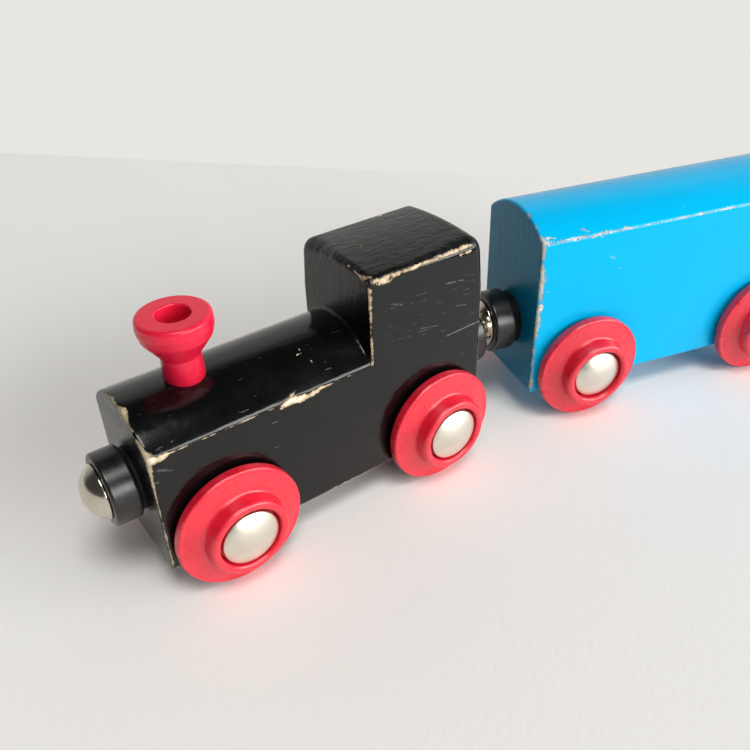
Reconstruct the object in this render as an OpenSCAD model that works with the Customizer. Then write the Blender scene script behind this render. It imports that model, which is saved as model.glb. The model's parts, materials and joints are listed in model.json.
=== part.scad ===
// Wooden toy train: an engine and a roofed wagon that hold together by round magnets.
// Millimetres, +Z up. The engine heads towards -X and stands square to the frame, and the
// wagon follows it, swung about the coupling. Z = 0 is the floor that the wheels stand on,
// and X = Y = 0 is the middle of the whole train's outline.
// Left and right are the train's own: left is the -Y side.

/* [Wheels and axles] */
// Diameter of a wheel over its tread
wheel_d = 21; // [19:0.5:23]
// Distance between the inner faces of a pair of wheels, which straddle a 20 mm track rail
wheel_gauge = 21; // [20.6:0.1:22]
// Thickness of the wheel's rim
rim_w = 1.8; // [1.6:0.1:2.4]
// Diameter of the hub that stands out of the wheel
hub_d = 13; // [12:0.2:14]
// How far the hub stands out of the rim's edge
hub_h = 3.3; // [2.6:0.1:3.6]
// Rise of the rim's face from its edge to the hub
face_rise = 0.8; // [0:0.1:1.2]
// Diameter of the recess in the hub that holds the cap
hub_recess_d = 10.3; // [9.6:0.1:10.8]
// Diameter of the steel axle
axle_d = 3; // [2.5:0.1:3.2]
// Diameter of the domed cap on the axle's end
cap_d = 9.3; // [8:0.1:9.5]
// Height of the cap's dome
cap_dome_h = 1.05; // [0.8:0.05:1.4]

/* [Both bodies] */
// Width of a wooden body
body_w = 19.8; // [19:0.1:20]
// Height of a body's underside above the floor
underside = 6.1; // [5.5:0.1:7]

/* [Engine] */
// Length of the engine's body
engine_l = 61.2; // [58:0.1:66]
// Front of the body to the front axle
engine_overhang = 11.1; // [11:0.1:13]
// Distance between the engine's axles
engine_wheelbase = 39.8; // [36:0.1:41]
// Height of the boiler's side edges above the floor
boiler_side = 27.5; // [26:0.1:29]
// Rise of the boiler's arched top over its side edges
boiler_crown = 4.9; // [3:0.1:6]
// Front of the body to the cab's front wall
cab_front = 38; // [34:0.1:42]
// Height of the cab roof's side edges above the floor
cab_side = 42.6; // [40:0.1:45]
// Rise of the cab's roof over its side edges
cab_crown = 0.8; // [0.5:0.1:2]
// Rounding of the cab roof's front edge
cab_front_round = 0.7; // [0.4:0.1:1.5]
// Rounding of the cab roof's rear edge
cab_rear_round = 2; // [1:0.1:3]
// Rounding of the cab roof's side edges
cab_side_round = 1.4; // [0.8:0.1:2]

/* [Funnel] */
// Front of the body to the funnel's centre
funnel_x = 11.1; // [9:0.1:14]
// Height of the funnel's top above the floor
funnel_top = 42.6; // [40:0.1:45]
// Diameter of the funnel's foot
funnel_foot_d = 6.8; // [6:0.1:8]
// Diameter of the funnel's neck
funnel_neck_d = 6; // [5.4:0.1:6.8]
// Diameter of the funnel's lip
funnel_lip_d = 11.4; // [10.4:0.1:12.4]
// Diameter of the blind hole in the funnel's top
funnel_hole_d = 5.6; // [4.6:0.1:6.4]

/* [Wagon] */
// Length of the wagon's body
wagon_l = 64; // [60:0.1:70]
// Front of the body to the front axle
wagon_overhang = 11.4; // [11:0.1:13]
// Distance between the wagon's axles
wagon_wheelbase = 41.2; // [38:0.1:44]
// Height of the wagon's side edges above the floor
wagon_side = 37.3; // [35:0.1:40]
// Rise of the wagon's arched roof over its side edges
wagon_crown = 3.9; // [3:0.1:6]
// How far the wagon's front axle has slid to the right, which sinks its left cap into the hub
axle_slide = 0.8; // [0:0.1:1]

/* [Couplings] */
// Height of the couplings above the floor
coupling_z = 18; // [16:0.1:20]
// Diameter of the ring magnet
magnet_d = 11.8; // [11:0.1:12.6]
// Length of the ring magnet
magnet_l = 4.25; // [3.5:0.05:5]
// Diameter of the steel pin that the magnet turns on
pin_d = 3; // [2.6:0.1:3.4]
// Diameter of the pin's domed head
dome_d = 9; // [8.4:0.1:9.6]
// Height of the dome
dome_h = 1.9; // [1.5:0.05:2.3]
// How far the wagon is swung to the left of the engine's line, in degrees
wagon_swing = 15.5; // [0:0.5:38]
// Where on the engine's dome the wagon's dome rests, in degrees to the left of straight back
contact_angle = 2; // [0:0.5:8]

/* [Hidden] */
$fn = 96;
slack = 0.06;              // radial clearance of a turning fit, and the gap between the two domes
wheel_r = wheel_d / 2;
wheel_in = wheel_gauge / 2;
rim_out = wheel_in + rim_w;
hub_out = rim_out + hub_h;
tread_round = 0.8;         // rounding of the rim's outer edge
flange_round = 0.5;        // rounding of the rim's inner edge
hub_round = 0.5;           // rounding of the hub's lip
recess_depth = 2;
boss_r = 3.2;              // boss on the wheel's back that keeps the rim off the body
boss_gap = 0.15;           // gap between that boss and the body's side
cap_base = hub_out - 0.7;
cap_rim = 0.75;            // straight part of the cap under its dome
cap_out = cap_base + cap_rim + cap_dome_h;
cap_sphere_r = (pow(cap_d / 2, 2) + pow(cap_dome_h, 2)) / (2 * cap_dome_h);
cap_socket = 1.05;         // depth of the cap's socket on the axle's end
cap_hollow = 0.45;         // depth of the hollow ring under the cap
cap_boss = 0.8;            // wall around the socket, inside the hollow ring
cap_wall = 0.5;            // wall outside the hollow ring
axle_half = cap_base + cap_socket;

boiler_joint = 5;          // how far the boiler's prism reaches into the cab's
collar_d = 9.2;            // plastic collar between body and magnet
collar_l = 1.35;
magnet_gap = 0.05;         // end play of the magnet, at each end
magnet_chamfer = 0.5;
head_rim = 0.3;            // straight edge under the dome
head_base = collar_l + magnet_l + 2 * magnet_gap;
head_out = head_base + head_rim + dome_h;
dome_sphere_r = (pow(dome_d / 2, 2) + pow(dome_h, 2)) / (2 * dome_h);
dome_centre = head_out - dome_sphere_r;
pin_depth = 12;            // how far the pin is driven into the body

funnel_seat = 27.5;        // height of the bottom of the funnel's socket
funnel_neck_z = 35.8;      // the stem narrows up to here
funnel_flare_z = 40.2;     // and flares up to here
funnel_hole_depth = 7;

// The wagon swings about the centre of its own front dome, which rests on the engine's rear dome.
engine_rear_dome = [engine_l + dome_centre, 0];
pivot = engine_rear_dome + (2 * dome_sphere_r + slack) * [cos(contact_angle), -sin(contact_angle)];
wagon_front = pivot + dome_centre * [cos(wagon_swing), -sin(wagon_swing)];

function in_wagon(p) = wagon_front
    + [p[0] * cos(wagon_swing) + p[1] * sin(wagon_swing),
       -p[0] * sin(wagon_swing) + p[1] * cos(wagon_swing)];

// The middle of the outline, from the four pieces that reach furthest out.
front_end = -head_out;
rear_end = in_wagon([wagon_l + dome_centre, 0])[0] + dome_sphere_r;
right_side = cap_out;
hub_lip = [wagon_overhang + wagon_wheelbase + hub_d / 2 - hub_round, hub_round - hub_out];
left_side = in_wagon(hub_lip)[1] - hub_round;
middle = [(front_end + rear_end) / 2, (right_side + left_side) / 2];

// ---- Frames ----

module on_engine() {
    translate([-middle[0], -middle[1], 0])
        children();
}

module on_wagon() {
    translate([wagon_front[0] - middle[0], wagon_front[1] - middle[1], 0])
        rotate([0, 0, -wagon_swing])
            children();
}

// Puts a turned piece, drawn about Z, on an axle: it points out to the left or the right.
module on_axle(x, side) {
    translate([x, 0, wheel_r])
        rotate([side == "left" ? 90 : -90, 0, 0])
            children();
}

// Puts a turned piece, drawn about Z, on a body's front or rear face: it points outwards.
module on_end(end, length) {
    translate([end == "front" ? 0 : length, 0, coupling_z])
        rotate([0, end == "front" ? -90 : 90, 0])
            children();
}

// ---- Wooden bodies ----

// Cross-section of a body whose top is an arc between two side edges.
module arched_section(side_top, crown) {
    r = (pow(body_w / 2, 2) + pow(crown, 2)) / (2 * crown);
    translate([-body_w / 2, underside])
        square([body_w, side_top - underside]);
    intersection() {
        translate([-body_w / 2, side_top])
            square([body_w, crown]);
        translate([0, side_top + crown - r])
            circle(r, $fn = 180);
    }
}

// Extrudes a cross-section along the body.
module along_body(from, to) {
    translate([from, 0, 0])
        rotate([90, 0, 90])
            linear_extrude(height = to - from)
                children();
}

// The arched section with its side edges rounded to meet the arc and the sides smoothly.
module rounded_arched_section(side_top, crown, edge_round) {
    r = (pow(body_w / 2, 2) + pow(crown, 2)) / (2 * crown);
    arc_z = side_top + crown - r;
    edge_y = body_w / 2 - edge_round;
    edge_z = arc_z + sqrt(pow(r - edge_round, 2) - pow(edge_y, 2));
    meet_y = edge_y * r / (r - edge_round);
    intersection() {
        arched_section(side_top, crown);
        union() {
            translate([-meet_y, underside])
                square([2 * meet_y, side_top + crown - underside]);
            translate([-body_w / 2, underside])
                square([body_w, edge_z - underside]);
            for (y = [-edge_y, edge_y])
                translate([y, edge_z])
                    circle(edge_round);
        }
    }
}

// Side view of the cab: a box with its two top edges rounded.
module cab_side_view(front_round, rear_round) {
    top = cab_side + cab_crown;
    translate([cab_front, underside])
        square([front_round, top - front_round - underside]);
    translate([cab_front + front_round, underside])
        square([engine_l - cab_front - front_round - rear_round, top - underside]);
    translate([engine_l - rear_round, underside])
        square([rear_round, top - rear_round - underside]);
    translate([cab_front + front_round, top - front_round])
        circle(front_round);
    translate([engine_l - rear_round, top - rear_round])
        circle(rear_round);
}

module cab() {
    intersection() {
        along_body(cab_front, engine_l)
            rounded_arched_section(cab_side, cab_crown, cab_side_round);
        rotate([90, 0, 0])
            linear_extrude(height = body_w + 2, center = true)
                cab_side_view(cab_front_round, cab_rear_round);
    }
}

// Bores for two axles and two coupling pins.
module body_bores(length, overhang, wheelbase) {
    for (x = [overhang, overhang + wheelbase])
        translate([x, 0, wheel_r])
            rotate([90, 0, 0])
                cylinder(r = axle_d / 2 + slack, h = body_w + 2, center = true);
    for (end = ["front", "rear"])
        on_end(end, length)
            translate([0, 0, -pin_depth])
                cylinder(d = pin_d, h = pin_depth + 1);
}

module engine_block() {
    color([0.06, 0.06, 0.065])
        difference() {
            union() {
                along_body(0, cab_front + boiler_joint)
                    arched_section(boiler_side, boiler_crown);
                cab();
            }
            body_bores(engine_l, engine_overhang, engine_wheelbase);
            translate([funnel_x, 0, funnel_seat])
                cylinder(d = funnel_foot_d, h = funnel_top);
        }
}

module wagon_block() {
    color([0.05, 0.62, 0.9])
        difference() {
            along_body(0, wagon_l)
                arched_section(wagon_side, wagon_crown);
            body_bores(wagon_l, wagon_overhang, wagon_wheelbase);
        }
}

// ---- Funnel ----

// Radius of the funnel's flare, from the neck at t = 0 to the lip at t = 1.
function flare_r(t) = funnel_neck_d / 2
    + (funnel_lip_d - funnel_neck_d) / 2 * (1 - cos(180 * pow(t, 0.9))) / 2;

module funnel() {
    lip_round = 0.7;
    flare_steps = 10;
    lip_r = funnel_lip_d / 2;
    flare = [for (i = [0 : flare_steps])
        let (t = i / flare_steps)
            [flare_r(t), funnel_neck_z + t * (funnel_flare_z - funnel_neck_z)]];
    color([0.85, 0.1, 0.18])
        translate([funnel_x, 0, 0])
            difference() {
                rotate_extrude()
                    union() {
                        translate([0, funnel_seat])
                            square([funnel_foot_d / 2, boiler_side + boiler_crown - funnel_seat]);
                        polygon(concat(
                            [[0, boiler_side], [funnel_foot_d / 2, boiler_side + boiler_crown]],
                            flare,
                            [[lip_r, funnel_top - lip_round], [0, funnel_top - lip_round]]));
                        translate([0, funnel_top - lip_round - 0.5])
                            square([lip_r - lip_round, lip_round + 0.5]);
                        translate([lip_r - lip_round, funnel_top - lip_round])
                            circle(lip_round);
                    }
                translate([0, 0, funnel_top - funnel_hole_depth])
                    cylinder(d = funnel_hole_d, h = funnel_hole_depth + 1);
            }
}

// ---- Wheels ----

// Half-section of a wheel: x is the radius, y the distance out from the train's middle plane.
module wheel_section() {
    boss_in = body_w / 2 + boss_gap;
    face_edge_r = wheel_r - tread_round;
    difference() {
        union() {
            translate([0, wheel_in])
                square([wheel_r - flange_round, rim_w / 2]);
            translate([0, wheel_in])
                square([wheel_r - tread_round, rim_w]);
            translate([0, wheel_in + flange_round])
                square([wheel_r, rim_w - flange_round - tread_round]);
            translate([wheel_r - tread_round, rim_out - tread_round])
                circle(tread_round);
            translate([wheel_r - flange_round, wheel_in + flange_round])
                circle(flange_round);
            translate([0, boss_in])
                square([boss_r, wheel_in - boss_in + 0.1]);
            translate([0, rim_out - 0.1])
                square([hub_d / 2, hub_h + 0.1 - hub_round]);
            translate([0, rim_out])
                square([hub_d / 2 - hub_round, hub_h]);
            translate([hub_d / 2 - hub_round, hub_out - hub_round])
                circle(hub_round);
            polygon([[0, rim_out - 0.1], [face_edge_r, rim_out - 0.1], [face_edge_r, rim_out],
                     [hub_d / 2, rim_out + face_rise], [0, rim_out + face_rise]]);
        }
        translate([-1, 0])
            square([1 + axle_d / 2 + slack, hub_out + 1]);
        translate([-1, hub_out - recess_depth])
            square([1 + hub_recess_d / 2, recess_depth + 1]);
    }
}

module wheel(x, side) {
    color([0.93, 0.27, 0.33])
        on_axle(x, side)
            rotate_extrude()
                wheel_section();
}

// slide is how far the cap's axle has moved to the right.
module cap(x, side, slide) {
    color([0.75, 0.75, 0.73])
        on_axle(x, side)
            translate([0, 0, side == "left" ? -slide : slide])
                rotate_extrude()
                    difference() {
                        intersection() {
                            translate([0, cap_base])
                                square([cap_d / 2, cap_out - cap_base]);
                            translate([0, cap_out - cap_sphere_r])
                                circle(cap_sphere_r, $fn = 180);
                        }
                        translate([-1, cap_base - 1])
                            square([1 + axle_d / 2, cap_socket + 1]);
                        translate([axle_d / 2 + cap_boss, cap_base - 1])
                            square([cap_d / 2 - cap_wall - axle_d / 2 - cap_boss, cap_hollow + 1]);
                    }
}

module axle(x, slide) {
    color([0.6, 0.6, 0.6])
        translate([x, slide, wheel_r])
            rotate([90, 0, 0])
                cylinder(d = axle_d, h = 2 * axle_half, center = true);
}

// ---- Couplings ----

// Plastic collar that keeps the magnet off the wood.
module collar(end, length) {
    color([0.03, 0.03, 0.03])
        on_end(end, length)
            difference() {
                cylinder(d = collar_d, h = collar_l);
                translate([0, 0, -1])
                    cylinder(d = pin_d, h = collar_l + 2);
            }
}

// Ring magnet with a chamfer on its outer edges.
module magnet(end, length) {
    r = magnet_d / 2;
    back = collar_l + magnet_gap;
    color([0.05, 0.05, 0.05])
        on_end(end, length)
            difference() {
                union() {
                    translate([0, 0, back])
                        cylinder(r1 = r - magnet_chamfer / 2, r2 = r, h = magnet_chamfer / 2);
                    translate([0, 0, back + magnet_chamfer / 2])
                        cylinder(r = r, h = magnet_l - 1.5 * magnet_chamfer);
                    translate([0, 0, back + magnet_l - magnet_chamfer])
                        cylinder(r1 = r, r2 = r - magnet_chamfer, h = magnet_chamfer);
                }
                cylinder(r = pin_d / 2 + slack, h = 3 * magnet_l);
            }
}

// Steel pin, driven into the body, whose domed head holds the magnet on.
module pin(end, length) {
    color([0.8, 0.8, 0.8])
        on_end(end, length)
            rotate_extrude()
                union() {
                    translate([0, -pin_depth])
                        square([pin_d / 2, pin_depth + head_base]);
                    translate([0, head_base])
                        square([dome_d / 2, head_rim]);
                    intersection() {
                        translate([0, head_base + head_rim])
                            square([dome_d / 2, dome_h]);
                        translate([0, dome_centre])
                            circle(dome_sphere_r, $fn = 180);
                    }
                }
}

// ---- The train ----

on_engine() engine_block();
on_engine() funnel();
on_wagon() wagon_block();

for (end = ["front", "rear"]) {
    engine_x = engine_overhang + (end == "rear" ? engine_wheelbase : 0);
    wagon_x = wagon_overhang + (end == "rear" ? wagon_wheelbase : 0);
    wagon_slide = end == "front" ? axle_slide : 0;
    on_engine() axle(engine_x, 0);
    on_wagon() axle(wagon_x, wagon_slide);
    on_engine() collar(end, engine_l);
    on_wagon() collar(end, wagon_l);
    on_engine() magnet(end, engine_l);
    on_wagon() magnet(end, wagon_l);
    on_engine() pin(end, engine_l);
    on_wagon() pin(end, wagon_l);
    for (side = ["left", "right"]) {
        corner = str(end, "_", side);
        on_engine() wheel(engine_x, side);
        on_engine() cap(engine_x, side, 0);
        on_wagon() wheel(wagon_x, side);
        on_wagon() cap(wagon_x, side, wagon_slide);
    }
}
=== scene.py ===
import json
import math

import bmesh
import bpy
import numpy as np
from mathutils import Matrix, Vector


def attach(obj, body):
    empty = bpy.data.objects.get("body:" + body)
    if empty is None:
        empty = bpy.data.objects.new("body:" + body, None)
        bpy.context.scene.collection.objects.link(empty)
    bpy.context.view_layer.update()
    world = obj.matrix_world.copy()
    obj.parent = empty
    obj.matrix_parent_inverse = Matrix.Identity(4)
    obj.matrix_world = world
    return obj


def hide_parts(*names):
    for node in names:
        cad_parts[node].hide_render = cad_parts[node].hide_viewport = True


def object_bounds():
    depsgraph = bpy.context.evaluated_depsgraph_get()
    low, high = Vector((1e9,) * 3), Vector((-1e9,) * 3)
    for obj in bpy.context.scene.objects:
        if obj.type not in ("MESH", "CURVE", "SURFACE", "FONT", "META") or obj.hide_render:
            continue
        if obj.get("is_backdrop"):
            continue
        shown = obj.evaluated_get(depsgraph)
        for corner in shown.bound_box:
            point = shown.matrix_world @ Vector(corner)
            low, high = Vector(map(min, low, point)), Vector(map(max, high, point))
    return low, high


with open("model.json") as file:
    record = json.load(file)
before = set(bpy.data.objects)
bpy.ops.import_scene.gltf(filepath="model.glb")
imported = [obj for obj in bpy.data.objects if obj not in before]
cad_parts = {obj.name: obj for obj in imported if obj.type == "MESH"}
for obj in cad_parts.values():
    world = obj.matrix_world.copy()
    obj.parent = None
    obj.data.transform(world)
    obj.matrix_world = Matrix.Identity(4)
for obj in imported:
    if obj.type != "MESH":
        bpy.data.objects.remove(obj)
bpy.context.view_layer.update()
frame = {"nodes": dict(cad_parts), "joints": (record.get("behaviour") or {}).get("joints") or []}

MM = 0.001
VEHICLES = ("engine", "wagon")
ENDS = ("front", "rear")
SIDES = ("left", "right")

# Shape, in mm, in each vehicle's own frame: x back from its front face, y to its right, z up.
BODY_HALF = 9.9
UNDERSIDE = 6.1
# The height of each arched top's side edges, and its rise over them.
BOILER_TOP = (27.5, 4.9)
CAB_TOP = (42.6, 0.8)
WAGON_TOP = (37.3, 3.9)
CAB_FRONT = 38
FUNNEL_X = 11.1
COUPLING_Z = 18
MAGNET_MIDDLE = 3.525  # from the body's end to the middle of its ring magnet
SUNK = {("wagon", "front"): 0.4}  # how far this end's caps sit to the right on the loose axle
PUSHED = {("engine", "front"): 0.7}  # how far this end's ring sits back on its pin


# ---------------------------------------------------------------- frame

joints = {joint["name"]: joint for joint in frame["joints"]}


def vehicle_frame(vehicle):
    """The vehicle's own frame in metres, and its length in mm, from its two magnets' joints."""
    front, rear = (Vector(joints[f"{vehicle}_{end}_magnet_spin"]["pos_m"]) for end in ENDS)
    along = (rear - front).normalized()
    length = (rear - front).length / MM - 2 * MAGNET_MIDDLE
    corner = front + along * MAGNET_MIDDLE * MM
    up = Vector((0, 0, 1))
    right = up.cross(along)
    matrix = Matrix((along, right, up)).transposed().to_4x4()
    matrix.translation = (corner.x, corner.y, 0)
    return matrix, length


frames = {vehicle: vehicle_frame(vehicle) for vehicle in VEHICLES}


def at(x, y, z):
    return Matrix.Translation((x * MM, y * MM, z * MM))


def facing(direction):
    """A turn that takes local Z to the direction."""
    return Vector((0, 0, 1)).rotation_difference(Vector(direction)).to_matrix().to_4x4()


# ---------------------------------------------------------------- meshes

def piece(name, mesh, place, material, body, slot, *nodes):
    """A new visible piece that rides on a body and stands for CAD nodes.

    Its spot attribute keeps its own coordinates in mm, for its material, before the mesh moves to its place."""
    points = np.empty(len(mesh.vertices) * 3, dtype=np.float32)
    mesh.vertices.foreach_get("co", points)
    mesh.attributes.new("spot", "FLOAT_VECTOR", "POINT").data.foreach_set("vector", points / MM)
    mesh.transform(place)
    mesh.materials.append(material)
    obj = bpy.data.objects.new(name, mesh)
    bpy.context.scene.collection.objects.link(obj)
    bpy.context.view_layer.update()
    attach(obj, body)
    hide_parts(*nodes)
    return obj


def smooth(mesh):
    mesh.polygons.foreach_set("use_smooth", [True] * len(mesh.polygons))
    mesh.update()


def keep(mesh, name, values):
    """Stores one number for each of the mesh's points, for its material."""
    mesh.attributes.new(name, "FLOAT", "POINT").data.foreach_set("value", np.asarray(values, dtype=np.float32))


def rounded(corners, closed=False, steps=6):
    """An outline whose (radius, height, rounding) corners are arcs, with a close point beside each arc."""
    points = []
    count = len(corners)
    for index, (r, z, rounding) in enumerate(corners):
        here = Vector((r, z))
        if rounding == 0 or (not closed and index in (0, count - 1)):
            points.append(here)
            continue
        before = Vector(corners[index - 1][:2])
        after = Vector(corners[(index + 1) % count][:2])
        back, on = before - here, after - here
        a, b = back.normalized(), on.normalized()
        half = a.angle(b) / 2
        reach = min(rounding / math.tan(half), 0.45 * back.length, 0.45 * on.length)
        radius = reach * math.tan(half)
        middle = here + (a + b).normalized() * radius / math.sin(half)
        start, end = here + a * reach, here + b * reach
        turn = (start - middle).angle_signed(end - middle)
        beside = min(0.06, 0.04 * back.length, 0.04 * on.length)
        points.append(start + a * beside)
        for step in range(steps + 1):
            spoke = (start - middle).copy()
            spoke.rotate(Matrix.Rotation(-turn * step / steps, 2))
            points.append(middle + spoke)
        points.append(end + b * beside)
    return points


def lathe(name, outline, closed=False, segments=112):
    """The outline's (radius, height) points in mm, turned about Z."""
    angles = np.arange(segments) * (2 * math.pi / segments)
    vertices, rings = [], []
    for r, z in outline:
        if r < 1e-4:
            rings.append([len(vertices)] * segments)
            vertices.append((0, 0, z * MM))
        else:
            rings.append(list(range(len(vertices), len(vertices) + segments)))
            vertices += [(r * math.cos(a) * MM, r * math.sin(a) * MM, z * MM) for a in angles]
    faces = []
    pairs = list(zip(rings, rings[1:] + rings[:1])) if closed else list(zip(rings, rings[1:]))
    for low, high in pairs:
        for i in range(segments):
            j = (i + 1) % segments
            face = [low[i], low[j], high[j], high[i]]
            face = [v for k, v in enumerate(face) if v != face[k - 1]]
            if len(face) > 2:
                faces.append(face)
    mesh = bpy.data.meshes.new(name)
    mesh.from_pydata(vertices, [], faces)
    mesh.validate()
    bm = bmesh.new()
    bm.from_mesh(mesh)
    bmesh.ops.recalc_face_normals(bm, faces=bm.faces)
    bm.to_mesh(mesh)
    bm.free()
    smooth(mesh)
    return mesh


def dome(edge_r, edge_z, height, steps=14):
    """Outline points of a shallow round dome, from its edge to its top."""
    r = (edge_r ** 2 + height ** 2) / (2 * height)
    reach = math.asin(edge_r / r)
    angles = [reach * (1 - step / steps) for step in range(steps + 1)]
    return [Vector((r * math.sin(a), edge_z + height - r + r * math.cos(a))) for a in angles]


# ---------------------------------------------------------------- node helper

class Nodes:
    """A node tree and short calls that add nodes to it."""

    def __init__(self, tree):
        self.tree = tree
        self.spot = None

    def put(self, socket, value):
        if isinstance(value, bpy.types.NodeSocket):
            self.tree.links.new(value, socket)
        else:
            if socket.type == "RGBA" and len(value) == 3:
                value = (*value, 1)
            socket.default_value = value

    def add(self, kind, inputs=(), **settings):
        node = self.tree.nodes.new(kind)
        for name, value in settings.items():
            setattr(node, name, value)
        for key, value in dict(inputs).items():
            self.put(node.inputs[key], value)
        return node

    def math(self, operation, *values, clamp=False):
        node = self.add("ShaderNodeMath", dict(enumerate(values)), operation=operation)
        node.use_clamp = clamp
        return node.outputs[0]

    def vector(self, operation, *values):
        node = self.add("ShaderNodeVectorMath", operation=operation)
        for index, value in enumerate(values):
            self.put(node.inputs["Scale"] if operation == "SCALE" and index else node.inputs[index], value)
        return node.outputs["Value"] if operation in ("DOT_PRODUCT", "LENGTH", "DISTANCE") else node.outputs[0]

    def place(self, scale=(1, 1, 1), offset=(0, 0, 0)):
        """The spot on the piece in mm, stretched by scale."""
        if self.spot is None:
            self.spot = self.add("ShaderNodeAttribute", attribute_name="spot").outputs["Vector"]
        mapping = self.add("ShaderNodeMapping", {"Vector": self.spot})
        mapping.inputs["Scale"].default_value = scale
        mapping.inputs["Location"].default_value = offset
        return mapping.outputs[0]

    def noise(self, scale, detail=2, roughness=0.5, stretch=(1, 1, 1), offset=(0, 0, 0)):
        """Noise with scale features per mm."""
        return self.add("ShaderNodeTexNoise", {
            "Vector": self.place(stretch, offset), "Scale": scale, "Detail": detail,
            "Roughness": roughness}).outputs[0]

    def step(self, value, low, high, out_low=0, out_high=1):
        """A smooth step from out_low at low to out_high at high."""
        return self.add("ShaderNodeMapRange", {
            0: value, 1: low, 2: high, 3: out_low, 4: out_high},
            interpolation_type="SMOOTHSTEP").outputs[0]

    def mix(self, factor, a, b):
        node = self.add("ShaderNodeMix", data_type="RGBA")
        for key, value in ((0, factor), (6, a), (7, b)):
            self.put(node.inputs[key], value)
        return node.outputs[2]

    def bump(self, height):
        """A normal bent by a height in mm."""
        node = self.add("ShaderNodeBump", {"Height": height, "Distance": MM, "Strength": 1.0})
        return node.outputs[0]


class MaterialNodes(Nodes):
    """A new material's nodes."""

    def __init__(self, name, plain=False):
        self.material = bpy.data.materials.new(name)
        self.material.use_nodes = True
        super().__init__(self.material.node_tree)
        self.shader = self.tree.nodes["Principled BSDF"]
        if plain:  # a CAD node or the floor has no spot attribute
            place = self.add("ShaderNodeTexCoord").outputs["Object"]
            self.spot = self.vector("SCALE", place, 1 / MM)

    def set(self, **values):
        """Sets or links the shader's inputs."""
        for name, value in values.items():
            self.put(self.shader.inputs[name.replace("_", " ")], value)


# ---------------------------------------------------------------- materials

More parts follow.
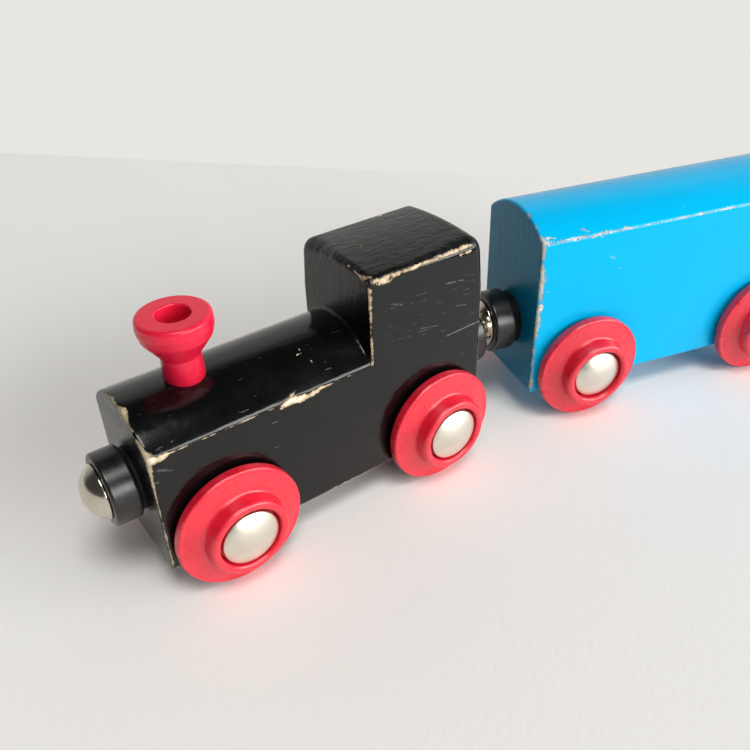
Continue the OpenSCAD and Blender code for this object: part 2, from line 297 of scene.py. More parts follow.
def paint(name, colour, dark, scratches_and_highlight, rough, tint=(1, 1, 1), speckle=1.0, streaks=None,
          pale=(0.9, 0.84, 0.66), margin=(0.16, 0.105, 0.06), end_shade=1.0, bias=0.0, broken_up=1.0, dented=0.0):
    """Glossy paint over wood: bare wood and layered edges where the mesh's wear says, scratch marks with painted
    highlight lines, and fine grain.

    The worn edges' marks are finer with more speckle, thinner with more bias, and more ragged when broken up.
    The bare wood is pale, with a dirt-brown margin. The end faces' colour is multiplied by end_shade, a painted shade,
    and a roof as high as the cab's can be dented."""
    n = MaterialNodes(name)
    wear = n.add("ShaderNodeAttribute", attribute_name="wear").outputs["Fac"]
    ragged = n.math("SUBTRACT", n.noise(2.0 * speckle, 3, 0.65), 0.5)
    fine = n.math("SUBTRACT", n.noise(6 * speckle, 2, 0.6), 0.5)
    uneven = n.math("ADD", n.math("MULTIPLY", ragged, 0.8 * broken_up), n.math("MULTIPLY", fine, 0.6 * broken_up))
    edge = n.math("ADD", n.math("SUBTRACT", wear, bias), uneven)
    bare = n.step(edge, -0.03, 0.05)

    # Bare wood: dirt-brown where the paint ends, then tan, then cream, with fibres and stained patches.
    fibre = n.noise(1.1, 3, 0.6, stretch=(0.35, 2.2, 2.2))
    stain = n.step(n.noise(0.35 * speckle, 4, 0.65, offset=(3, 9, 5)), 0.42, 0.62)
    tan = n.mix(n.step(fibre, 0.3, 0.7), (0.4, 0.29, 0.17), (0.66, 0.52, 0.34))
    cream = n.mix(n.step(fibre, 0.3, 0.7), tuple(0.78 * c for c in pale), pale)
    tone = n.math("ADD", edge, 1.6 * bias)
    wood = n.mix(n.step(tone, 0.22, 0.52), tan, cream)
    wood = n.mix(n.math("MULTIPLY", stain, 0.6), wood, tan)
    wood = n.mix(n.step(tone, 0.16, 0.03), wood, margin)
    wood = n.mix(n.step(n.noise(0.8, 3, 0.6, offset=(3, 9, 5)), 0.64, 0.7), wood, (0.1, 0.045, 0.025))

    # Towards the front end the bare wood is darker and browner: painted shade of the shaded front faces, with some
    # dirt.
    split = n.add("ShaderNodeSeparateXYZ", {0: n.place()})
    front_dirt_and_shade = n.math("MULTIPLY", n.step(split.outputs[0], 1.0, 0.3), 0.6)
    wood = n.mix(front_dirt_and_shade, wood, (0.34, 0.29, 0.18))

    # Scratches and painted highlight lines: each is a line (x1, z1, x2, z2, half width, strength) on the left side.
    spot = n.place()
    flat = n.add("ShaderNodeCombineXYZ", {0: split.outputs[0], 2: split.outputs[2]}).outputs[0]
    jitter = n.math("MULTIPLY", n.math("SUBTRACT", n.noise(1.5, 2), 0.5), 0.12)
    mark = None
    for x1, z1, x2, z2, width, strength in scratches_and_highlight:
        along = Vector((x2 - x1, 0, z2 - z1))
        offset = n.vector("SUBTRACT", flat, (x1, 0, z1))
        share = n.math("MULTIPLY", n.vector("DOT_PRODUCT", offset, tuple(along)), 1 / along.length_squared, clamp=True)
        nearest = n.vector("SCALE", tuple(along), share)
        gap = n.math("ADD", n.vector("DISTANCE", offset, nearest), jitter)
        line = n.step(gap, width * 0.3, width, strength, 0)
        mark = line if mark is None else n.math("MAXIMUM", mark, line)
    if mark is None:
        mark = n.math("MULTIPLY", fine, 0)
    broken = n.step(n.noise(2.4, 2, 0.6, offset=(1, 1, 8)), 0.3, 0.5)
    mark = n.math("MULTIPLY", mark, broken)
    if streaks:
        # Many short, thin, slightly sloping rubs inside one patch (x1, x2, z1, z2, strength).
        x1, x2, z1, z2, strength = streaks
        lean = n.add("ShaderNodeCombineXYZ", {
            0: n.math("MULTIPLY", split.outputs[0], 0.3), 1: 0.0,
            2: n.vector("DOT_PRODUCT", spot, (0.24, 0, 2.6))}).outputs[0]
        field = n.add("ShaderNodeTexNoise", {"Vector": lean, "Scale": 1.0, "Detail": 2, "Roughness": 0.6}).outputs[0]
        inside_x = n.math("MULTIPLY", n.step(split.outputs[0], x1, x1 + 3), n.step(split.outputs[0], x2, x2 - 3))
        inside_z = n.math("MULTIPLY", n.step(split.outputs[2], z1, z1 + 2), n.step(split.outputs[2], z2, z2 - 2))
        inside = n.math("MULTIPLY", inside_x, inside_z)
        rubs = n.math("MULTIPLY", n.step(field, 0.62, 0.72, 0, strength), inside)
        mark = n.math("MAXIMUM", mark, rubs)
    left_side = n.step(split.outputs[1], -BODY_HALF + 0.3, -BODY_HALF + 0.1)
    mark = n.math("MULTIPLY", mark, left_side)

    # Tiny pits where the grain shows through, and soft rubbed patches.
    pit_field = n.noise(1.5, 2, 0.5, stretch=(0.25, 1, 1), offset=(4, 4, 4))
    pits = n.step(pit_field, 0.7, 0.76)
    rubbed = n.step(n.noise(0.12, 4, 0.65), 0.4, 0.75)

    # The end grain is duller and rougher, and the end faces' colour is darkened as painted shade, most on the wagon's
    # ends.
    ends = n.add("ShaderNodeAttribute", attribute_name="end").outputs["Fac"]
    skin = n.mix(n.math("MULTIPLY", rubbed, 0.35), colour, dark)
    skin = n.mix(ends, skin, tuple(end_shade * c for c in colour))
    # Scratch lines are paler; the wagon's long line along the roof edge is a painted highlight.
    skin = n.mix(n.math("MULTIPLY", mark, 0.75), skin, tuple(0.75 * c + 0.24 for c in colour))
    n.set(Base_Color=n.mix(bare, skin, wood))

    gloss = n.math("ADD", rough, n.math("MULTIPLY", rubbed, 0.1))
    gloss = n.math("ADD", gloss, n.math("MULTIPLY", n.math("ADD", mark, pits), 0.2))
    gloss = n.math("ADD", gloss, n.math("MULTIPLY", ends, 0.12))
    roof = n.step(split.outputs[2], CAB_TOP[0] - 2.1, CAB_TOP[0] - 0.1)
    gloss = n.math("ADD", gloss, n.math("MULTIPLY", roof, 0.5 * dented))
    n.set(Roughness=n.math("MAXIMUM", gloss, n.math("MULTIPLY", bare, 0.62)))
    n.set(IOR=1.46, Specular_Tint=tint)

    grain = n.noise(0.55, 4, 0.6, stretch=(0.12, 1, 1), offset=(2, 5, 9))
    peel = n.noise(0.9, 2, 0.5)
    height = n.math("ADD", n.math("MULTIPLY", grain, 0.06), n.math("MULTIPLY", peel, 0.012))
    # Shallow dents in the cab's roof, longest along the grain.
    dents = n.noise(0.7, 3, 0.6, stretch=(0.45, 1, 1), offset=(7, 3, 1))
    height = n.math("ADD", height, n.math("MULTIPLY", dents, n.math("MULTIPLY", roof, dented)))
    height = n.math("SUBTRACT", height, n.math("MULTIPLY", pits, 0.03))
    height = n.math("SUBTRACT", height, n.math("MULTIPLY", mark, 0.03))
    end_grain = n.math("MULTIPLY", n.noise(0.8, 3, 0.6, stretch=(1, 1, 0.12), offset=(6, 2, 2)), 0.05)
    height = n.math("ADD", height, n.math("MULTIPLY", ends, end_grain))
    wood_height = n.math("SUBTRACT", n.math("MULTIPLY", fibre, 0.06), 0.1)
    height = n.math("ADD", height, n.math("MULTIPLY", bare, wood_height))
    n.set(Normal=n.bump(height))
    return n.material


def wheel_plastic():
    """Red moulded plastic: slight translucency, faint mould marks, handling scuffs on the raised rings."""
    n = MaterialNodes("wheel_plastic")
    own = n.add("ShaderNodeObjectInfo").outputs["Random"]
    blotch = n.noise(0.25, 3, 0.6)
    skin = n.mix(n.step(blotch, 0.3, 0.7), (0.70, 0.008, 0.028), (0.80, 0.016, 0.045))
    spot = n.place()
    # Each wheel's scuffs lie elsewhere.
    shift = n.add("ShaderNodeCombineXYZ", {0: n.math("MULTIPLY", own, 57), 1: n.math("MULTIPLY", own, 31)}).outputs[0]
    scuff_field = n.add("ShaderNodeTexNoise", {
        "Vector": n.vector("ADD", spot, shift), "Scale": 1.7, "Detail": 4, "Roughness": 0.7}).outputs[0]
    scuff = n.step(scuff_field, 0.63, 0.7)
    split = n.add("ShaderNodeSeparateXYZ", {0: spot})
    across = n.add("ShaderNodeCombineXYZ", {0: split.outputs[0], 1: split.outputs[1]}).outputs[0]
    radius = n.vector("LENGTH", across)
    edges = n.math("MAXIMUM", n.step(radius, 9.5, 10.3), n.step(split.outputs[2], 15.1, 15.55))
    scuff = n.math("MULTIPLY", scuff, edges)
    n.set(Base_Color=n.mix(n.math("MULTIPLY", scuff, 0.55), skin, (0.85, 0.35, 0.36)))
    n.set(Roughness=n.math("ADD", n.step(blotch, 0.3, 0.7, 0.26, 0.34), n.math("MULTIPLY", scuff, 0.2)))
    n.set(IOR=1.72, Subsurface_Weight=0.12, Subsurface_Radius=(1.0, 0.12, 0.12), Subsurface_Scale=0.0012)
    ripple = n.math("MULTIPLY", n.noise(0.5, 3, 0.55), 0.02)
    fine = n.math("MULTIPLY", n.noise(6, 2, 0.5), 0.003)
    n.set(Normal=n.bump(n.math("SUBTRACT", n.math("ADD", ripple, fine), n.math("MULTIPLY", scuff, 0.02))))
    return n.material


def metal(name, colour, dark, rough, wear=0.5, swirl=0.004, ripple=0.02, plain=False):
    """Plated or polished steel with faint tarnish, pin scratch lines and small dents."""
    n = MaterialNodes(name, plain)
    cloud = n.noise(0.45, 4, 0.6)
    tarnish = n.step(cloud, 0.35, 0.75)
    n.set(Base_Color=n.mix(n.math("MULTIPLY", tarnish, wear), colour, dark), Metallic=1.0)
    lines = n.noise(2.2, 3, 0.7, stretch=(4, 0.35, 1), offset=(3, 1, 2))
    cross = n.noise(2.2, 3, 0.7, stretch=(0.35, 4, 1), offset=(8, 1, 2))
    hair = n.math("MAXIMUM", n.step(lines, 0.66, 0.72), n.step(cross, 0.68, 0.74))
    n.set(Roughness=n.math("ADD", n.step(cloud, 0.3, 0.7, rough, rough + 0.1), n.math("MULTIPLY", hair, 0.05)))
    height = n.math("SUBTRACT", n.math("MULTIPLY", n.noise(0.8, 3, 0.5), ripple), n.math("MULTIPLY", hair, swirl))
    n.set(Normal=n.bump(height))
    return n.material


def magnet_coating():
    """Satin black coating with small pale worn specks."""
    n = MaterialNodes("magnet_coating")
    cloud = n.noise(0.5, 4, 0.6)
    specks = n.step(n.noise(2.4, 3, 0.65, offset=(2, 2, 2)), 0.66, 0.72)
    base = n.mix(n.step(cloud, 0.35, 0.7), (0.006, 0.006, 0.006), (0.013, 0.012, 0.011))
    n.set(Base_Color=n.mix(n.math("MULTIPLY", specks, 0.3), base, (0.09, 0.085, 0.08)))
    n.set(Roughness=n.step(cloud, 0.3, 0.7, 0.26, 0.36), IOR=1.58)
    n.set(Normal=n.bump(n.math("ADD", n.math("MULTIPLY", cloud, 0.03), n.math("MULTIPLY", n.noise(7, 2, 0.5), 0.006))))
    return n.material


def collar_plastic():
    """Dull black moulded plastic, made near-black and weakly shiny as painted shade, for the shaded gap between the
    body and the ring.
    """
    n = MaterialNodes("collar_plastic")
    cloud = n.noise(0.6, 3, 0.6)
    n.set(Base_Color=n.mix(n.step(cloud, 0.35, 0.7), (0.004, 0.004, 0.004), (0.008, 0.008, 0.008)))
    n.set(Roughness=n.step(cloud, 0.3, 0.7, 0.45, 0.58), IOR=1.3)
    n.set(Normal=n.bump(n.math("MULTIPLY", n.noise(5, 3, 0.6), 0.012)))
    return n.material


# Scratches on each block's left side, and on the wagon a painted highlight line: (x1, z1, x2, z2, half width,
# strength).
ENGINE_SCRATCHES = [
    (53.4, 27.1, 60.8, 27.3, 0.12, 1.0),
    (53.0, 37.1, 55.0, 36.8, 0.12, 0.8),
    (55.6, 36.8, 56.7, 36.5, 0.12, 0.7),
    (42.1, 37.2, 44.3, 36.4, 0.25, 0.3),
    (55.2, 32.2, 57.4, 31.7, 0.12, 0.5),
    (47.7, 30.7, 51.4, 29.9, 0.14, 0.35),
    (1.3, 25.5, 2.4, 25.0, 0.3, 0.35),
    (2.2, 24.9, 3.3, 24.5, 0.2, 0.3),
    (0.5, 23.5, 0.9, 23.5, 0.25, 0.4),
    (19.5, 25.0, 20.4, 24.9, 0.14, 0.5),
    (19.2, 20.3, 20.0, 20.3, 0.12, 0.4),
]
WAGON_SCRATCHES_AND_HIGHLIGHT = [
    # a pale line all along the left roof edge: painted highlight of the crease, over some wear
    (0.8, 37.2, 63.4, 37.2, 0.2, 1.0),
    (1.6, 28.0, 2.2, 27.9, 0.14, 0.5),
    (5.6, 29.2, 6.1, 29.1, 0.12, 0.4),
    (14.4, 32.4, 15.2, 32.0, 0.3, 0.7),
    (16.0, 29.8, 17.0, 29.6, 0.16, 0.6),
    (20.1, 29.8, 20.6, 29.6, 0.12, 0.4),
    (14.2, 24.5, 14.6, 24.3, 0.12, 0.4),
]

materials = {
    "black_paint": paint("black_paint", (0.0022, 0.0025, 0.0026), (0.0055, 0.006, 0.006), ENGINE_SCRATCHES, 0.12,
                         streaks=(38.5, 61, 26.5, 38.5, 0.42), dented=0.19),
    "red_paint": paint("red_paint", (0.80, 0.012, 0.05), (0.66, 0.01, 0.04), [], 0.24),
    # The wagon's end faces are darkened to about a third, as painted shade.
    "blue_paint": paint("blue_paint", (0.001, 0.48, 0.87), (0.002, 0.43, 0.79), WAGON_SCRATCHES_AND_HIGHLIGHT, 0.16,
                        tint=(0.12, 0.65, 1.0), speckle=1.5, broken_up=2.2, bias=0.24,
                        pale=(0.93, 0.93, 0.84), margin=(0.4, 0.42, 0.32), end_shade=0.36),
    "wheel_plastic": wheel_plastic(),
    "cap_steel": metal("cap_steel", (0.84, 0.79, 0.69), (0.70, 0.64, 0.54), 0.34, swirl=0.0025, ripple=0.006),
    "axle_steel": metal("axle_steel", (0.6, 0.59, 0.57), (0.35, 0.34, 0.32), 0.3, plain=True),
    "dome_steel": metal("dome_steel", (0.62, 0.58, 0.49), (0.42, 0.38, 0.3), 0.15, wear=0.4, ripple=0.012),
    "magnet_coating": magnet_coating(),
    "collar_plastic": collar_plastic(),
}


# ---------------------------------------------------------------- blocks

def soft_meet(distances, rounding):
    """Distance outside a solid that is inside every surface, with its edges rounded."""
    stack = np.stack(distances)
    over = np.maximum(stack + rounding, 0)
    return np.minimum(stack.max(axis=0), -rounding) + np.sqrt((over ** 2).sum(axis=0))


def arched_block(points, start, end, side_top, crown, rounding):
    """Distance outside a block with an arched top."""
    x, y, z = points.T
    r = (BODY_HALF ** 2 + crown ** 2) / (2 * crown)
    top = np.hypot(y, z - (side_top + crown - r)) - r
    top = np.where(z > side_top + crown - r, top, -99)
    return soft_meet([start - x, x - end, np.abs(y) - BODY_HALF, UNDERSIDE - z, top], rounding)


def engine_solid(points):
    length = frames["engine"][1]
    boiler = arched_block(points, 0, CAB_FRONT + 2, *BOILER_TOP, 0.35)
    # The cab's upright edges are crisp, its roof's edges are rounder, and most at the rear.
    x, y, z = points.T
    side_top, crown = CAB_TOP
    r = (BODY_HALF ** 2 + crown ** 2) / (2 * crown)
    top = np.hypot(y, z - (side_top + crown - r)) - r
    rear = np.clip((x - 46) / 10, 0, 1)
    high = np.clip((z - 34) / 7, 0, 1)
    far_front = (1 - rear) * np.clip(y / 4, 0, 1)
    walls = soft_meet([CAB_FRONT - x, x - length, np.abs(y) - BODY_HALF],
                      0.5 + rear * (0.5 + 1.2 * high) + far_front * (0.3 + 0.9 * high))
    crowned = soft_meet([walls, top], 1.1 + 1.3 * rear + 1.2 * far_front)
    cab = soft_meet([crowned, UNDERSIDE - z], 0.45)
    return np.minimum(boiler, cab)


def wagon_solid(points):
    return arched_block(points, 0, frames["wagon"][1], *WAGON_TOP, 0.4)


def slopes(solid, points, gap=0.02):
    """The solid's outward directions at the points."""
    out = np.empty_like(points)
    for axis in range(3):
        shift = np.zeros(3)
        shift[axis] = gap
        out[:, axis] = solid(points + shift) - solid(points - shift)
    return out / np.maximum(np.linalg.norm(out, axis=1, keepdims=True), 1e-9)


def stroke(points, path):
    """How far inside a worn stroke each point is, in mm, more steeply where it is thin.

    The path's knots are (x, y, z, half width)."""
    best = np.full(len(points), -9.0)
    knots = [np.array(knot, float) for knot in path]
    if len(knots) == 1:
        knots.append(knots[0] + (0.01, 0, 0, 0))
    for a, b in zip(knots, knots[1:]):
        along = b[:3] - a[:3]
        share = np.clip((points - a[:3]) @ along / (along @ along), 0, 1)
        gap = np.linalg.norm(points - a[:3] - share[:, None] * along, axis=1)
        half = a[3] + share * (b[3] - a[3])
        best = np.maximum(best, (1 - gap / half) * np.maximum(half, 0.45))
    return best


def lattice(points, scale, seed):
    """Smooth seeded noise from -1 to 1, with cells of scale mm."""
    table = np.random.default_rng(seed).uniform(-1, 1, (64, 64, 64))
    p = points / scale
    base = np.floor(p).astype(int)
    t = p - base
    t = t * t * (3 - 2 * t)
    total = np.zeros(len(points))
    for dx in (0, 1):
        for dy in (0, 1):
            for dz in (0, 1):
                weight = np.abs(1 - dx - t[:, 0]) * np.abs(1 - dy - t[:, 1]) * np.abs(1 - dz - t[:, 2])
                total += weight * table[(base[:, 0] + dx) % 64, (base[:, 1] + dy) % 64, (base[:, 2] + dz) % 64]
    return total


def prism(start, end, side_top, crown, steps=48):
    """A block with an arched top, as plain vertices and faces in mm."""
    r = (BODY_HALF ** 2 + crown ** 2) / (2 * crown)
    reach = math.asin(BODY_HALF / r)
    turns = [reach * (1 - 2 * step / steps) for step in range(steps + 1)]
    section = [(-BODY_HALF, UNDERSIDE), (BODY_HALF, UNDERSIDE)]
    section += [(r * math.sin(turn), side_top + crown - r + r * math.cos(turn)) for turn in turns]
    count = len(section)
    vertices = [(x, y, z) for x in (start, end) for y, z in section]
    faces = [list(range(count))[::-1], [count + i for i in range(count)]]
    faces += [[i, (i + 1) % count, count + (i + 1) % count, count + i] for i in range(count)]
    return vertices, faces


def block_mesh(name, prisms, solid, strokes, seed, voxel=0.3):
    """A dense block: prisms joined and remeshed, drawn onto the solid's surface and worn."""
    vertices, faces = [], []
    for some, more in prisms:
        faces += [[len(vertices) + i for i in face] for face in more]
        vertices += some
    rough = bpy.data.meshes.new(name + "_rough")
    rough.from_pydata(vertices, [], faces)
    obj = bpy.data.objects.new(name + "_rough", rough)
    bpy.context.scene.collection.objects.link(obj)
    remesh = obj.modifiers.new("remesh", "REMESH")
    remesh.mode, remesh.voxel_size = "VOXEL", voxel
    relax = obj.modifiers.new("relax", "SMOOTH")
    relax.factor, relax.iterations = 0.5, 3
    bpy.context.view_layer.update()
    mesh = bpy.data.meshes.new_from_object(obj.evaluated_get(bpy.context.evaluated_depsgraph_get()))
    bpy.data.objects.remove(obj)
    bpy.data.meshes.remove(rough)
    mesh.name = name

    points = np.empty(len(mesh.vertices) * 3)
    mesh.vertices.foreach_get("co", points)
    points = points.reshape(-1, 3)
    ends = np.empty(len(mesh.edges) * 2, dtype=int)
    mesh.edges.foreach_get("vertices", ends)
    a, b = ends.reshape(-1, 2).T
    around = np.bincount(a, minlength=len(points)) + np.bincount(b, minlength=len(points))
    for draw in range(12):
        points -= slopes(solid, points) * np.clip(solid(points), -0.2, 0.2)[:, None]
        if 2 < draw < 8:  # even out the spacing between the first draws and the last
            total = np.stack([np.bincount(a, line[b], len(line)) + np.bincount(b, line[a], len(line))
                              for line in points.T], axis=1)
            points = 0.5 * points + 0.5 * total / around[:, None]
    wear = np.full(len(points), -3.0)
    ragged = 0.28 * lattice(points, 1.3, seed) + 0.16 * lattice(points, 0.55, seed + 1)
    depth = np.zeros(len(points))
    for path, deep in strokes:
        inside = stroke(points, path) + ragged
        wear = np.maximum(wear, inside)
        depth = np.maximum(depth, deep * np.clip(inside / 0.45, 0, 1))
    points -= slopes(solid, points) * depth[:, None]
    mesh.vertices.foreach_set("co", (points * MM).ravel())
    keep(mesh, "wear", np.clip(wear, -3, 2))
    keep(mesh, "end", np.clip(np.abs(slopes(solid, points)[:, 0]) * 5 - 4, 0, 1))
    smooth(mesh)
    return mesh


L = -BODY_HALF
ENGINE_STROKES = [
    # (knots, depth): boiler's left top edge, a thin worn line made wide enough to paint in part of the edge's
    # highlight, then its big chip
    ([(3, L, 27.5, 0.11), (20, L, 27.5, 0.13), (37, L, 27.5, 0.11)], 0.02),
    ([(21.2, L, 26.9, 0.25), (23.3, L + 0.2, 27.4, 0.65), (26, L, 27.0, 0.55), (28.5, L, 27.4, 0.3),
      (30.8, L, 27.4, 0.14)], 0.18),
    ([(23.4, -9.4, 28.0, 0.4), (24.2, -9.0, 28.3, 0.25)], 0.12),
    # front left corner and the front vertical edge
    ([(0.1, -7.2, 29.6, 0.3), (0.1, -8.8, 28.5, 0.55), (0.5, -9.6, 27.5, 0.8), (1.6, L, 27.3, 0.5),
      (3.4, L, 27.5, 0.15)], 0.16),
    ([(0.1, -9.7, 27.0, 0.6), (0.1, L, 25.4, 0.4)], 0.12),
    ([(0.1, L, 26, 0.36), (0.1, L, 20, 0.18), (0.1, L, 13, 0.2), (0.1, L, 6.3, 0.28)], 0.08),
    ([(0.3, -9.8, 6.2, 0.26), (12, -9.8, 6.2, 0.22), (29, -9.8, 6.2, 0.3), (42, -9.8, 6.2, 0.3),
      (60, -9.8, 6.2, 0.22)], 0.05),
    ([(29.2, -9.8, 6.2, 0.55), (29.9, -9.8, 6.3, 0.45)], 0.25),
    # front arc edge
    ([(0, 4, 31.4, 0.16), (0.2, 1, 32.2, 0.35), (0.1, -1, 32.2, 0.2), (0.4, -3, 31.9, 0.55),
      (0.1, -4.5, 31.3, 0.5), (0.2, -6.4, 30.5, 0.2)], 0.14),
    ([(0, -4.7, 30.6, 0.35), (0, -4.7, 29, 0.2)], 0.1),
    ([(0, -2.1, 31, 0.35), (0, -2.1, 28.8, 0.16)], 0.1),
    # marks on the boiler's top
    ([(27.4, -4.9, 31.4, 0.1), (28.2, -4.9, 31.4, 0.1), (28.3, -4.1, 31.7, 0.1)], 0.05),
    ([(27.5, -4.2, 31.6, 0.1)], 0.05), ([(28.8, -6.4, 30.6, 0.1), (29, -6.8, 30.4, 0.08)], 0.05),
    # cab's left roof edge
    ([(38.5, -9.3, 41.9, 0.45), (40.5, -9.6, 41.7, 0.5), (43.5, -9.6, 41.9, 0.38), (47, -9.6, 42, 0.28),
      (51, -9.6, 42, 0.26), (55, -9.4, 42, 0.34), (58.8, -9.2, 41.9, 0.48)], 0.1),
    ([(38.3, -8.2, 42.4, 0.35), (38.8, -9, 42.3, 0.3)], 0.1),
    ([(56, -9.8, 41.2, 0.25), (58.4, -9.7, 41.2, 0.3)], 0.08),
    # cab's front roof edge
    ([(38.1, 7.7, 42.8, 0.2)], 0.08), ([(38.1, 6.3, 42.9, 0.18)], 0.08), ([(38.1, 1.5, 43.1, 0.18)], 0.08),
    ([(38.1, -0.3, 43.1, 0.2)], 0.08), ([(38.1, -4.2, 42.9, 0.25), (38.1, -4.8, 42.9, 0.16)], 0.1),
    ([(38.1, -5.5, 42.7, 0.14), (38.1, -7.6, 42.3, 0.25)], 0.1),
    # cab's vertical edges
    ([(38.1, -9.8, 40.8, 0.4), (38.1, -9.8, 38, 0.24), (38.1, -9.8, 33, 0.2), (38.1, -9.8, 27.6, 0.26)], 0.06),
    ([(60.9, -9.6, 38, 0.2), (60.9, -9.6, 30, 0.16), (60.9, -9.6, 20, 0.22), (60.9, -9.6, 7, 0.2)], 0.06),
    # roof marks
    ([(42, 2.3, 43.4, 0.1), (43.2, 1.6, 43.4, 0.08)], 0.04),
    ([(42.9, -0.3, 43.4, 0.08), (43.1, -1.1, 43.4, 0.08)], 0.04),
    ([(51.2, 7.2, 43, 0.14), (53.2, 7.8, 42.9, 0.16)], 0.05),
    ([(52.2, 6.8, 43, 0.08), (51.9, 5.2, 43.2, 0.08)], 0.04),
    # the right side and the rear are worn more lightly
    ([(1, -L, 27.5, 0.08), (37, -L, 27.5, 0.1)], 0.03), ([(39, 9.5, 42, 0.16), (60, 9.4, 41.9, 0.24)], 0.06),
    ([(60.8, -7, 41.9, 0.16), (60.8, 7, 41.9, 0.14)], 0.06), ([(0, -L, 26, 0.16), (0, -L, 8, 0.12)], 0.05),
    ([(61.2, -L, 40, 0.12), (61.2, -L, 8, 0.14)], 0.05),
    ([(0.3, -L, UNDERSIDE, 0.16), (60, -L, UNDERSIDE, 0.14)], 0.04),
]
WAGON_STROKES = [
    ([(0.3, -1, 41.1, 0.2), (0.3, -5, 40.2, 0.4), (0.3, -8, 38.6, 0.5), (0.4, -9.6, 37.5, 0.6)], 0.06),
    ([(0.2, 8, 38.7, 0.1), (0.2, 2, 41.1, 0.14)], 0.06),
    ([(0.2, -9.8, 37, 0.55), (0.2, -9.8, 34, 0.4), (0.5, -9.8, 30, 0.8), (0.4, -9.8, 24, 0.7),
      (0.2, -9.8, 16, 0.42), (0.2, -9.8, 7, 0.4)], 0.04),
    ([(0.5, -9.7, 37.4, 0.5), (3, -9.7, 37.4, 0.34), (8, -9.7, 37.4, 0.4), (12, -9.7, 37.4, 0.42),
      (20, -9.8, 37.3, 0.25), (34, -9.8, 37.3, 0.28), (50, -9.8, 37.3, 0.22), (63, -9.8, 37.3, 0.3)], 0.04),
    ([(1.2, -8.9, 38.1, 0.4), (3, -9.2, 37.9, 0.25)], 0.03),
    ([(8.3, -8.6, 38.4, 0.2), (10.9, -9.8, 37.3, 0.3), (12, L, 36.6, 0.16)], 0.03),
    ([(9.6, L, 36.9, 0.16), (12.6, -9.5, 37.6, 0.2)], 0.03),
    ([(0, -9.7, 14.5, 0.2)], 0.1),
    ([(64, L, 37, 0.25), (64, L, 25, 0.14), (64, L, 8, 0.18)], 0.06),
    ([(64, -8, 38.7, 0.18), (64, 0, 41.2, 0.14), (64, 8, 38.7, 0.18)], 0.06),
    ([(1, -L, 37.3, 0.18), (30, -L, 37.3, 0.12), (63, -L, 37.3, 0.18)], 0.05),
    ([(0, -L, 36, 0.14), (0, -L, 8, 0.16)], 0.05), ([(64, -L, 36, 0.14), (64, -L, 8, 0.16)], 0.05),
    ([(1, L, UNDERSIDE, 0.2), (63, L, UNDERSIDE, 0.2)], 0.04),
    ([(1, -L, UNDERSIDE, 0.16), (63, -L, UNDERSIDE, 0.16)], 0.04),
]


def make_blocks():
    matrix, length = frames["engine"]
    prisms = [prism(0, CAB_FRONT + 1, *BOILER_TOP), prism(CAB_FRONT, length, *CAB_TOP)]
    piece("engine_body", block_mesh("engine_body", prisms, engine_solid, ENGINE_STROKES, 11), matrix,
          materials["black_paint"], "engine", "black_paint", "engine_block")
    matrix, length = frames["wagon"]
    prisms = [prism(0, length, *WAGON_TOP)]
    piece("wagon_body", block_mesh("wagon_body", prisms, wagon_solid, WAGON_STROKES, 23), matrix,
          materials["blue_paint"], "wagon", "blue_paint", "wagon_block")


# ---------------------------------------------------------------- turned pieces

def make_funnel():
    outline = rounded([(0, 27.6, 0), (3.4, 27.6, 0), (3.0, 36, 0.4), (5.3, 39.3, 0.8), (5.68, 40.9, 1.2),
                       (5.55, 42.6, 0.65), (2.55, 42.6, 0.3), (2.5, 35.6, 0.4), (0, 35.6, 0)])
    mesh = lathe("engine_funnel", outline, segments=160)
    keep(mesh, "wear", np.full(len(mesh.vertices), -3.0))
    keep(mesh, "end", np.zeros(len(mesh.vertices)))
    piece("engine_funnel", mesh, frames["engine"][0] @ at(FUNNEL_X, 0, 0),
          materials["red_paint"], "engine", "red_paint", "funnel")


def make_wheels():
    wheel_outline = rounded([
        (1.56, 10.05, 0.1), (3.2, 10.05, 0.2), (3.3, 10.5, 0.1), (10.45, 10.5, 0.5), (10.45, 12.3, 0.6),
        (9.7, 12.32, 0.3), (6.75, 13.1, 0.55), (6.5, 15.6, 0.75), (5.2, 15.6, 0.5), (5.0, 13.6, 0.2),
        (1.56, 13.6, 0.1)], closed=True)
    cap_outline = rounded([(0, 14.8, 0), (4.6, 14.8, 0.1), (4.65, 15.2, 0)]) + dome(4.62, 15.25, 1.45, steps=20)
    for vehicle in VEHICLES:
        for end in ENDS:
            spin = joints[f"{vehicle}_{end}_axle_spin"]
            centre, axis = Vector(spin["pos_m"]), Vector(spin["axis"])
            slid = SUNK.get((vehicle, end), 0)
            for side in SIDES:
                out = axis if side == "right" else -axis
                place = Matrix.Translation(centre) @ facing(out)
                name = f"{vehicle}_{end}_{side}"
                piece(name + "_tyre", lathe(name + "_tyre", wheel_outline, closed=True, segments=144), place,
                      materials["wheel_plastic"], name + "_wheel", "wheel_plastic", name + "_wheel")
                shift = slid if side == "right" else -slid
                piece(name + "_hub_cap", lathe(name + "_hub_cap", cap_outline, segments=96),
                      Matrix.Translation(centre + out * shift * MM) @ facing(out),
                      materials["cap_steel"], f"{vehicle}_{end}_axle_set", "cap_steel", name + "_cap")


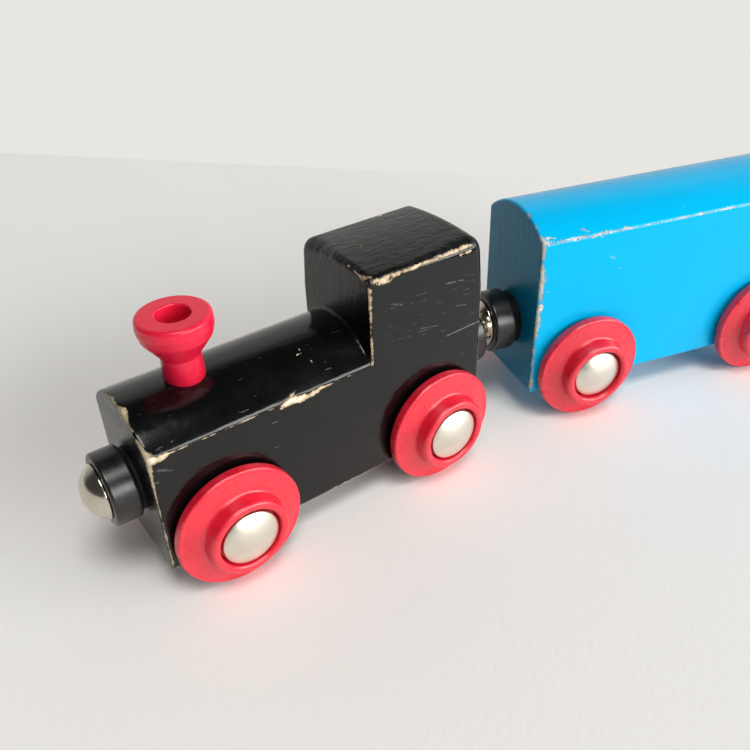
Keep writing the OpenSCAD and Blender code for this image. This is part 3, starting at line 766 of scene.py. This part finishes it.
def make_couplers():
    """At each end a collar, a ring magnet and a pin's domed head, from the body's end outwards."""
    for vehicle in VEHICLES:
        matrix, length = frames[vehicle]
        for end in ENDS:
            name = f"{vehicle}_{end}"
            back = PUSHED.get((vehicle, end), 0)
            collar = rounded([(0, 0.02, 0), (5.1, 0.02, 0.05), (5.1, 1.35 - back, 0.25), (0, 1.35 - back, 0)])
            ring = rounded([(1.62, 1.4 - back, 0.1), (5.9, 1.4 - back, 0.5),
                            (5.9, 5.65 - back, 0.5), (1.62, 5.65 - back, 0.2)], closed=True)
            head = rounded([(0, 5.7 - back, 0), (4.45, 5.7 - back, 0.12), (4.5, 6.0 - back, 0)])
            head += dome(4.48, 6.02 - back, 1.86 + back)
            x, out = (0, (-1, 0, 0)) if end == "front" else (length, (1, 0, 0))
            place = matrix @ at(x, 0, COUPLING_Z) @ facing(out)
            piece(name + "_spacer", lathe(name + "_spacer", collar), place,
                  materials["collar_plastic"], vehicle, "collar_plastic", name + "_collar")
            piece(name + "_ring", lathe(name + "_ring", ring, closed=True, segments=144), place,
                  materials["magnet_coating"], name + "_magnet", "magnet_coating", name + "_magnet")
            piece(name + "_rivet", lathe(name + "_rivet", head, segments=128), place,
                  materials["dome_steel"], vehicle, "dome_steel", name + "_pin")


def finish_axles():
    for vehicle in VEHICLES:
        for end in ENDS:
            axle = frame["nodes"][f"{vehicle}_{end}_axle"]
            axle.data.materials.clear()
            axle.data.materials.append(materials["axle_steel"])


# ---------------------------------------------------------------- stage, light and camera

def make_stage():
    """A pale floor that ends behind the train, where the pale surround stands for a wall."""
    n = MaterialNodes("floor", plain=True)
    cloud = n.noise(0.01, 3, 0.5)
    n.set(Base_Color=n.mix(cloud, (0.90, 0.885, 0.86), (0.93, 0.92, 0.895)), Roughness=0.75)
    n.set(Specular_IOR_Level=0.25, Normal=n.bump(n.math("MULTIPLY", n.noise(0.9, 4, 0.65), 0.05)))
    matrix = frames["engine"][0]
    # The floor's far edge runs along this line, in the engine's frame in mm.
    a, b = Vector((36, 223, 0)), Vector((155, 92, 0))
    along = (b - a).normalized()
    near = Vector((along.y, -along.x, 0))
    corners = [a - along * 800, b + along * 800, b + along * 800 + near * 1100, a - along * 800 + near * 1100]
    mesh = bpy.data.meshes.new("floor")
    mesh.from_pydata([matrix @ (c * MM) for c in corners], [], [[0, 1, 2, 3]])
    mesh.materials.append(n.material)
    floor = bpy.data.objects.new("floor", mesh)
    bpy.context.scene.collection.objects.link(floor)
    floor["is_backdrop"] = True


def make_world():
    """A pale surround: bright low down on the far and right sides, dark overhead and dim on the left."""
    world = bpy.data.worlds.new("studio")
    bpy.context.scene.world = world
    world.use_nodes = True
    n = Nodes(world.node_tree)
    out = n.tree.nodes["World Output"]
    direction = n.add("ShaderNodeTexCoord").outputs["Generated"]
    split = n.add("ShaderNodeSeparateXYZ", {0: direction})
    low = n.step(split.outputs[2], 0.62, 0.82, 1, 0)
    wall = n.step(n.vector("DOT_PRODUCT", direction, (0.64, 0.768, 0)), -0.1, 0.5, 0.05, 1)
    level = n.math("ADD", n.math("MULTIPLY", low, n.math("MULTIPLY", wall, 0.62)), 0.03)
    lit = n.add("ShaderNodeBackground", {"Color": (1.0, 0.985, 0.955), "Strength": level}).outputs[0]
    seen = n.add("ShaderNodeBackground", {"Color": (0.80, 0.79, 0.75), "Strength": 1.0}).outputs[0]
    ray = n.add("ShaderNodeLightPath").outputs["Is Camera Ray"]
    both = n.add("ShaderNodeMixShader", {0: ray, 1: lit, 2: seen}).outputs[0]
    n.tree.links.new(both, out.inputs["Surface"])


def area_light(name, direction, distance, size, power, colour):
    light = bpy.data.lights.new(name, "AREA")
    light.shape, light.size, light.size_y = "RECTANGLE", *size
    light.energy, light.color = power, colour
    obj = bpy.data.objects.new(name, light)
    bpy.context.scene.collection.objects.link(obj)
    low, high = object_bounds()
    away = Vector(direction).normalized()
    obj.location = (Vector(low) + Vector(high)) / 2 + away * distance
    obj.rotation_mode = "QUATERNION"
    obj.rotation_quaternion = away.to_track_quat("Z", "Y")
    obj.visible_camera = False


def make_camera():
    """A view from the front left, from above and slightly rolled. The angles are in the engine's frame."""
    azimuth, elevation, roll = (math.radians(a) for a in (-34.82, 34.73, -2.09))
    flat = math.cos(elevation)
    back = Vector((math.sin(azimuth) * flat, -math.cos(azimuth) * flat, math.sin(elevation)))
    right = Vector((0, 0, 1)).cross(back).normalized()
    up = back.cross(right)
    right, up = right * math.cos(roll) + up * math.sin(roll), up * math.cos(roll) - right * math.sin(roll)
    local = Matrix((right, up, back)).transposed().to_4x4()
    camera = bpy.data.cameras.new("camera")
    camera.lens, camera.sensor_width = 38.97, 36
    camera.clip_start, camera.clip_end = 0.005, 20
    obj = bpy.data.objects.new("camera", camera)
    bpy.context.scene.collection.objects.link(obj)
    obj.matrix_world = frames["engine"][0] @ at(-22.48, -97.5, 99.54) @ local
    bpy.context.scene.camera = obj


make_camera()
make_blocks()
make_funnel()
make_wheels()
make_couplers()
finish_axles()
make_stage()
make_world()
area_light("key", (0.44, -0.83, 0.33), 4, (5.2, 1.6), 200, (1.0, 0.995, 0.98))
area_light("overhead", (-0.08, -0.38, 0.92), 3, (1.2, 1.0), 40, (1.0, 0.995, 0.98))
bpy.context.scene.view_settings.view_transform = "Standard"
